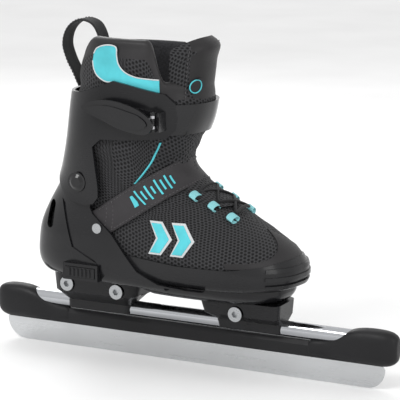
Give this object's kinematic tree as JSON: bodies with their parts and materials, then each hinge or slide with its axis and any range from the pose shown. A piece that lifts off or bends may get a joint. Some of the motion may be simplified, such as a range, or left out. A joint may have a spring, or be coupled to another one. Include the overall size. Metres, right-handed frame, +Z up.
{
  "type": "adjustable ice skate",
  "caption": "Right-foot adjustable speed ice skate with hard shell, hinged cuff, padded boot, ratchet buckle, strap and long steel blade.",
  "frame": {"origin": "middle of the blade's running edge, under the middle of the blade cover", "axes": "+X to the toe, +Y to the inner side of the foot, +Z up"},
  "size_m": [0.375, 0.1077, 0.2857],
  "materials": {
    "blade_steel": "brushed",
    "tube_steel": "polished",
    "cover_plastic": "satin",
    "frame_plastic": "satin gloss",
    "bolt_zinc": "bright zinc",
    "shell_plastic": "gloss",
    "rivet_black": "gloss",
    "rivet_steel": "polished",
    "liner_mesh": "honeycomb mesh",
    "liner_inside": "brushed lining",
    "tongue_mesh": "honeycomb mesh",
    "smooth_synthetic": "smooth coated fabric",
    "strap_synthetic": "coated webbing",
    "teal_fabric": "smooth",
    "loop_webbing": "webbing",
    "badge_rubber": "moulded",
    "cuff_plastic": "gloss",
    "buckle_plastic": "gloss",
    "spring_steel": "plain",
    "toe_plastic": "satin gloss",
    "rack_plastic": "plain",
    "footbed_foam": "foam with cloth face",
    "lace_cord": "braided",
    "button_plastic": "satin"
  },
  "bodies": {
    "skate": {"blade": "blade_steel", "steel_tube": "tube_steel", "blade_cover": "cover_plastic", "heel_tower": "frame_plastic", "front_tower": "frame_plastic", "tower_bolts": "bolt_zinc", "barrel_nuts": "bolt_zinc", "heel_shell": "shell_plastic", "pivot_rivets": "rivet_black", "shell_rivets": "rivet_steel", "liner_lower": "liner_mesh", "tongue_lower": "tongue_mesh", "heel_footbed": "footbed_foam", "instep_strap": "strap_synthetic", "button_springs": "spring_steel"},
    "cuff": {"cuff": "cuff_plastic", "tongue_upper": "tongue_mesh", "liner_collar": "liner_mesh", "collar_trim": "teal_fabric", "tongue_badge": "badge_rubber", "pull_loop": "loop_webbing", "cuff_strap": "buckle_plastic", "cuff_rivets": "rivet_steel", "buckle_base": "buckle_plastic", "lever_pin": "spring_steel", "lever_springs": "spring_steel"},
    "lever": {"buckle_lever": "buckle_plastic", "lever_inlay": "buckle_plastic"},
    "toe": {"toe_shell": "toe_plastic", "size_rack": "rack_plastic", "toe_upper": "liner_mesh", "toe_cap": "smooth_synthetic", "toe_footbed": "footbed_foam", "lace_loops": "teal_fabric", "lace": "lace_cord"},
    "button": {"size_button": "button_plastic"}
  },
  "joints": [
    {"name": "cuff_hinge", "type": "hinge", "parent": "skate", "child": "cuff", "pos_m": [-0.083, 0, 0.155], "axis": [0, 1, 0], "range_deg": [-3, 9]},
    {"name": "lever_hinge", "type": "hinge", "parent": "cuff", "child": "lever", "pos_m": [-0.0075, -0.0516, 0.212], "axis": [0, 0, 1], "range_deg": [0, 75], "stiffness_Nm_per_rad": 0.02},
    {"name": "toe_slide", "type": "slide", "parent": "skate", "child": "toe", "axis": [1, 0, 0], "range_m": [0, 0.02]},
    {"name": "size_button_push", "type": "slide", "parent": "skate", "child": "button", "axis": [0, 1, 0], "range_m": [0, 0.003], "stiffness_N_per_m": 400, "deforming": ["button_springs"]}
  ]
}
